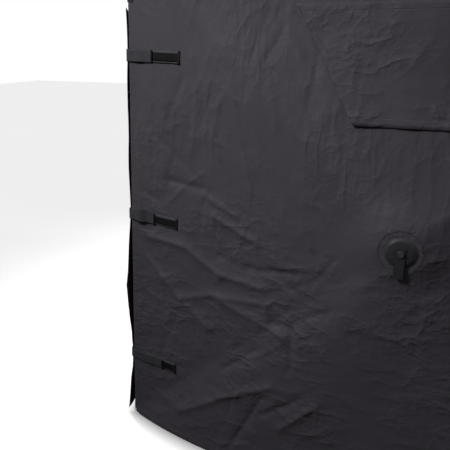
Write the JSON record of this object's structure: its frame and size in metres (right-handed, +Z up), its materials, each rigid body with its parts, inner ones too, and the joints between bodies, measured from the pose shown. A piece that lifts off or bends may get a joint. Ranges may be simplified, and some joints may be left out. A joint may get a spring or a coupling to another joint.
{
  "type": "pop-up ground blind",
  "caption": "Square pop-up ground blind of dark coated cloth on sprung hub-and-pole walls and roof, with a hook-and-loop corner door and covered windows.",
  "frame": {"origin": "middle of the square footprint on the ground", "axes": "+Z up; -Y is out of the front wall, whose left corner holds the door's free edge; -X is out of the door wall"},
  "size_m": [2.1256, 2.1256, 1.9153],
  "materials": {
    "wall_cloth": "matte",
    "webbing": "matte",
    "hook_tape": "matte",
    "pole": "satin",
    "boot_plastic": "satin",
    "eyelet": "satin"
  },
  "bodies": {
    "frame": {"bottom_boots": "boot_plastic", "top_boots": "boot_plastic", "seam_tapes": "webbing", "stake_loops": "webbing", "stake_grommets": "eyelet"},
    "front_wall_hub": {"front_wall_hub": "boot_plastic", "front_wall_hub_cap": "boot_plastic", "front_wall_pull_strap": "webbing"},
    "front_wall_bottom": {"front_wall_panel_bottom": "wall_cloth", "front_wall_poles_lower": "pole"},
    "front_wall_right": {"front_wall_panel_right": "wall_cloth"},
    "front_wall_top": {"front_wall_panel_top": "wall_cloth", "front_wall_poles_upper": "pole"},
    "front_wall_left": {"front_wall_panel_left": "wall_cloth", "hook_patches": "hook_tape"},
    "front_wall_window_cover": {"front_wall_window_cover": "wall_cloth"},
    "right_wall_hub": {"right_wall_hub": "boot_plastic", "right_wall_hub_cap": "boot_plastic", "right_wall_pull_strap": "webbing"},
    "right_wall_bottom": {"right_wall_panel_bottom": "wall_cloth", "right_wall_poles_lower": "pole"},
    "right_wall_right": {"right_wall_panel_right": "wall_cloth"},
    "right_wall_top": {"right_wall_panel_top": "wall_cloth", "right_wall_poles_upper": "pole"},
    "right_wall_left": {"right_wall_panel_left": "wall_cloth"},
    "right_wall_window_cover": {"right_wall_window_cover": "wall_cloth"},
    "back_wall_hub": {"back_wall_hub": "boot_plastic", "back_wall_hub_cap": "boot_plastic", "back_wall_pull_strap": "webbing"},
    "back_wall_bottom": {"back_wall_panel_bottom": "wall_cloth", "back_wall_poles_lower": "pole"},
    "back_wall_right": {"back_wall_panel_right": "wall_cloth"},
    "back_wall_top": {"back_wall_panel_top": "wall_cloth", "back_wall_poles_upper": "pole"},
    "back_wall_left": {"back_wall_panel_left": "wall_cloth"},
    "back_wall_window_cover": {"back_wall_window_cover": "wall_cloth"},
    "left_wall_hub": {"left_wall_hub": "boot_plastic", "left_wall_hub_cap": "boot_plastic", "left_wall_pull_strap": "webbing"},
    "left_wall_bottom": {"left_wall_panel_bottom": "wall_cloth", "left_wall_poles_lower": "pole"},
    "left_wall_right": {"left_wall_panel_right": "wall_cloth"},
    "left_wall_top": {"left_wall_panel_top": "wall_cloth", "left_wall_poles_upper": "pole"},
    "left_wall_left": {"left_wall_panel_left": "wall_cloth"},
    "left_wall_window_cover": {"left_wall_window_cover": "wall_cloth"},
    "roof_hub": {"roof_hub": "boot_plastic", "roof_hub_cap": "boot_plastic", "roof_pull_strap": "webbing"},
    "roof_front": {"roof_panel_front": "wall_cloth", "roof_poles_front": "pole"},
    "roof_right": {"roof_panel_right": "wall_cloth"},
    "roof_back": {"roof_panel_back": "wall_cloth", "roof_poles_back": "pole"},
    "roof_left": {"roof_panel_left": "wall_cloth"},
    "door_flap": {"door_flap": "wall_cloth"},
    "tab_upper": {"tab_upper": "webbing"},
    "tab_middle": {"tab_middle": "webbing"},
    "tab_lower": {"tab_lower": "webbing"}
  },
  "joints": [
    {"name": "front_wall_pop", "type": "slide", "parent": "frame", "child": "front_wall_hub", "axis": [0, -0.9995, 0.0307], "range_m": [-0.3, 0]},
    {"name": "front_wall_bottom_fold", "type": "hinge", "parent": "frame", "child": "front_wall_bottom", "pos_m": [0, -0.903, 0.02], "axis": [1, 0, 0], "range_deg": [-20.3, 0.02]},
    {"name": "front_wall_right_fold", "type": "hinge", "parent": "frame", "child": "front_wall_right", "pos_m": [0.87646, -0.87646, 0.88507], "axis": [-0.0306, 0.0306, 0.9991], "range_deg": [-19.43, 0.02]},
    {"name": "front_wall_top_fold", "type": "hinge", "parent": "frame", "child": "front_wall_top", "pos_m": [0, -0.853, 1.65], "axis": [-1, 0, 0], "range_deg": [-21.46, 0.02]},
    {"name": "front_wall_left_fold", "type": "hinge", "parent": "frame", "child": "front_wall_left", "pos_m": [-0.87646, -0.87646, 0.88507], "axis": [-0.0306, -0.0306, -0.9991], "range_deg": [-19.43, 0.02]},
    {"name": "front_wall_window", "type": "hinge", "parent": "front_wall_top", "child": "front_wall_window_cover", "pos_m": [0, -0.90821, 1.46762], "axis": [-1, 0, 0], "range_deg": [0, 120]},
    {"name": "right_wall_pop", "type": "slide", "parent": "frame", "child": "right_wall_hub", "axis": [0.9995, 0, 0.0307], "range_m": [-0.3, 0]},
    {"name": "right_wall_bottom_fold", "type": "hinge", "parent": "frame", "child": "right_wall_bottom", "pos_m": [0.903, 0, 0.02], "axis": [0, 1, 0], "range_deg": [-20.3, 0.02]},
    {"name": "right_wall_right_fold", "type": "hinge", "parent": "frame", "child": "right_wall_right", "pos_m": [0.87646, 0.87646, 0.88507], "axis": [-0.0306, -0.0306, 0.9991], "range_deg": [-19.43, 0.02]},
    {"name": "right_wall_top_fold", "type": "hinge", "parent": "frame", "child": "right_wall_top", "pos_m": [0.853, 0, 1.65], "axis": [0, -1, 0], "range_deg": [-21.46, 0.02]},
    {"name": "right_wall_left_fold", "type": "hinge", "parent": "frame", "child": "right_wall_left", "pos_m": [0.87646, -0.87646, 0.88507], "axis": [0.0306, -0.0306, -0.9991], "range_deg": [-19.43, 0.02]},
    {"name": "right_wall_window", "type": "hinge", "parent": "right_wall_top", "child": "right_wall_window_cover", "pos_m": [0.90821, 0, 1.46762], "axis": [0, -1, 0], "range_deg": [0, 120]},
    {"name": "back_wall_pop", "type": "slide", "parent": "frame", "child": "back_wall_hub", "axis": [0, 0.9995, 0.0307], "range_m": [-0.3, 0]},
    {"name": "back_wall_bottom_fold", "type": "hinge", "parent": "frame", "child": "back_wall_bottom", "pos_m": [0, 0.903, 0.02], "axis": [-1, 0, 0], "range_deg": [-20.3, 0.02]},
    {"name": "back_wall_right_fold", "type": "hinge", "parent": "frame", "child": "back_wall_right", "pos_m": [-0.87646, 0.87646, 0.88507], "axis": [0.0306, -0.0306, 0.9991], "range_deg": [-19.43, 0.02]},
    {"name": "back_wall_top_fold", "type": "hinge", "parent": "frame", "child": "back_wall_top", "pos_m": [0, 0.853, 1.65], "axis": [1, 0, 0], "range_deg": [-21.46, 0.02]},
    {"name": "back_wall_left_fold", "type": "hinge", "parent": "frame", "child": "back_wall_left", "pos_m": [0.87646, 0.87646, 0.88507], "axis": [0.0306, 0.0306, -0.9991], "range_deg": [-19.43, 0.02]},
    {"name": "back_wall_window", "type": "hinge", "parent": "back_wall_top", "child": "back_wall_window_cover", "pos_m": [0, 0.90821, 1.46762], "axis": [1, 0, 0], "range_deg": [0, 120]},
    {"name": "left_wall_pop", "type": "slide", "parent": "frame", "child": "left_wall_hub", "axis": [-0.9995, 0, 0.0307], "range_m": [-0.3, 0]},
    {"name": "left_wall_bottom_fold", "type": "hinge", "parent": "frame", "child": "left_wall_bottom", "pos_m": [-0.903, 0, 0.02], "axis": [0, -1, 0], "range_deg": [-20.3, 0.02]},
    {"name": "left_wall_right_fold", "type": "hinge", "parent": "frame", "child": "left_wall_right", "pos_m": [-0.87646, -0.87646, 0.88507], "axis": [0.0306, 0.0306, 0.9991], "range_deg": [-19.43, 0.02]},
    {"name": "left_wall_top_fold", "type": "hinge", "parent": "frame", "child": "left_wall_top", "pos_m": [-0.853, 0, 1.65], "axis": [0, 1, 0], "range_deg": [-21.46, 0.02]},
    {"name": "left_wall_left_fold", "type": "hinge", "parent": "frame", "child": "left_wall_left", "pos_m": [-0.87646, 0.87646, 0.88507], "axis": [-0.0306, 0.0306, -0.9991], "range_deg": [-19.43, 0.02]},
    {"name": "left_wall_window", "type": "hinge", "parent": "left_wall_top", "child": "left_wall_window_cover", "pos_m": [-0.90821, 0, 1.46762], "axis": [0, 1, 0], "range_deg": [0, 120]},
    {"name": "roof_pop", "type": "slide", "parent": "frame", "child": "roof_hub", "axis": [0, 0, 1], "range_m": [-0.46, 0]},
    {"name": "roof_front_fold", "type": "hinge", "parent": "frame", "child": "roof_front", "pos_m": [0, -0.853, 1.65], "axis": [1, 0, 0], "range_deg": [-30.2, 0.02]},
    {"name": "roof_right_fold", "type": "hinge", "parent": "frame", "child": "roof_right", "pos_m": [0.853, 0, 1.65], "axis": [0, 1, 0], "range_deg": [-30.2, 0.02]},
    {"name": "roof_back_fold", "type": "hinge", "parent": "frame", "child": "roof_back", "pos_m": [0, 0.853, 1.65], "axis": [-1, 0, 0], "range_deg": [-30.2, 0.02]},
    {"name": "roof_left_fold", "type": "hinge", "parent": "frame", "child": "roof_left", "pos_m": [-0.853, 0, 1.65], "axis": [0, -1, 0], "range_deg": [-30.2, 0.02]},
    {"name": "door_open", "type": "hinge", "parent": "left_wall_right", "child": "door_flap", "pos_m": [-0.97887, -0.36659, 0.87257], "axis": [-0.0306, -0.0306, -0.9991], "range_deg": [0, 115]},
    {"name": "tab_upper_peel", "type": "hinge", "parent": "door_flap", "child": "tab_upper", "pos_m": [-0.87681, -0.87357, 1.33153], "axis": [-0.0306, -0.0306, -0.9991], "range_deg": [0, 150]},
    {"name": "tab_middle_peel", "type": "hinge", "parent": "door_flap", "child": "tab_middle", "pos_m": [-0.89268, -0.88944, 0.81401], "axis": [-0.0306, -0.0306, -0.9991], "range_deg": [0, 150]},
    {"name": "tab_lower_peel", "type": "hinge", "parent": "door_flap", "child": "tab_lower", "pos_m": [-0.90944, -0.9062, 0.26753], "axis": [-0.0306, -0.0306, -0.9991], "range_deg": [0, 150]}
  ],
  "couplings": [
    {"joint": "front_wall_bottom_fold", "follows": "front_wall_pop", "rad_per_m": 1.18},
    {"joint": "front_wall_right_fold", "follows": "front_wall_pop", "rad_per_m": 1.1295},
    {"joint": "front_wall_top_fold", "follows": "front_wall_pop", "rad_per_m": 1.2476},
    {"joint": "front_wall_left_fold", "follows": "front_wall_pop", "rad_per_m": 1.1295},
    {"joint": "right_wall_bottom_fold", "follows": "right_wall_pop", "rad_per_m": 1.18},
    {"joint": "right_wall_right_fold", "follows": "right_wall_pop", "rad_per_m": 1.1295},
    {"joint": "right_wall_top_fold", "follows": "right_wall_pop", "rad_per_m": 1.2476},
    {"joint": "right_wall_left_fold", "follows": "right_wall_pop", "rad_per_m": 1.1295},
    {"joint": "back_wall_bottom_fold", "follows": "back_wall_pop", "rad_per_m": 1.18},
    {"joint": "back_wall_right_fold", "follows": "back_wall_pop", "rad_per_m": 1.1295},
    {"joint": "back_wall_top_fold", "follows": "back_wall_pop", "rad_per_m": 1.2476},
    {"joint": "back_wall_left_fold", "follows": "back_wall_pop", "rad_per_m": 1.1295},
    {"joint": "left_wall_bottom_fold", "follows": "left_wall_pop", "rad_per_m": 1.18},
    {"joint": "left_wall_right_fold", "follows": "left_wall_pop", "rad_per_m": 1.1295},
    {"joint": "left_wall_top_fold", "follows": "left_wall_pop", "rad_per_m": 1.2476},
    {"joint": "left_wall_left_fold", "follows": "left_wall_pop", "rad_per_m": 1.1295},
    {"joint": "roof_front_fold", "follows": "roof_pop", "rad_per_m": 1.1451},
    {"joint": "roof_right_fold", "follows": "roof_pop", "rad_per_m": 1.1451},
    {"joint": "roof_back_fold", "follows": "roof_pop", "rad_per_m": 1.1451},
    {"joint": "roof_left_fold", "follows": "roof_pop", "rad_per_m": 1.1451}
  ]
}
